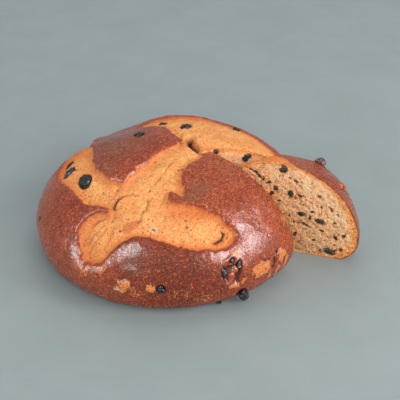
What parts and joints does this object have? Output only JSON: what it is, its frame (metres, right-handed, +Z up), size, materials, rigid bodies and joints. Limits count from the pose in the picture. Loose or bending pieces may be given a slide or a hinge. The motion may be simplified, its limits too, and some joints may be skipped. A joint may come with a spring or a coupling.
{
  "type": "christmas fruit loaf",
  "caption": "Round slashed fruit loaf with glossy brown crust and raisins, cut open from near its centre, with a wedge standing drawn part way out of the notch.",
  "frame": {"origin": "centre of the whole on the surface that it stands on", "axes": "+Z up; +X from the round towards the outer end of the drawn-out wedge; +Y away from the side that the picture was taken from"},
  "size_m": [0.2578, 0.2222, 0.0845],
  "materials": {
    "crust": "baked crust: glazed red-brown skin over matt golden slashes, satin sheen",
    "crumb": "cut crumb: matt beige brown with open pores, thin baked rim",
    "raisin": "wrinkled dark dried fruit, satin"
  },
  "bodies": {
    "root": {"loaf": "crust", "wedge": "crumb", "raisin_01": "raisin", "raisin_02": "raisin", "raisin_03": "raisin", "raisin_04": "raisin", "raisin_05": "raisin", "raisin_06": "raisin", "raisin_07": "raisin", "raisin_08": "raisin", "raisin_09": "raisin", "raisin_10": "raisin", "raisin_11": "raisin", "raisin_12": "raisin", "raisin_13": "raisin", "raisin_14": "raisin", "raisin_15": "raisin", "raisin_16": "raisin", "raisin_17": "raisin", "raisin_18": "raisin", "raisin_19": "raisin", "raisin_20": "raisin", "raisin_21": "raisin", "raisin_22": "raisin", "raisin_23": "raisin", "raisin_24": "raisin", "raisin_25": "raisin", "raisin_26": "raisin", "raisin_27": "raisin", "raisin_28": "raisin", "raisin_29": "raisin", "raisin_30": "raisin", "raisin_31": "raisin", "raisin_32": "raisin", "raisin_33": "raisin", "raisin_34": "raisin", "raisin_35": "raisin", "raisin_36": "raisin", "raisin_37": "raisin", "raisin_38": "raisin"}
  },
  "joints": []
}
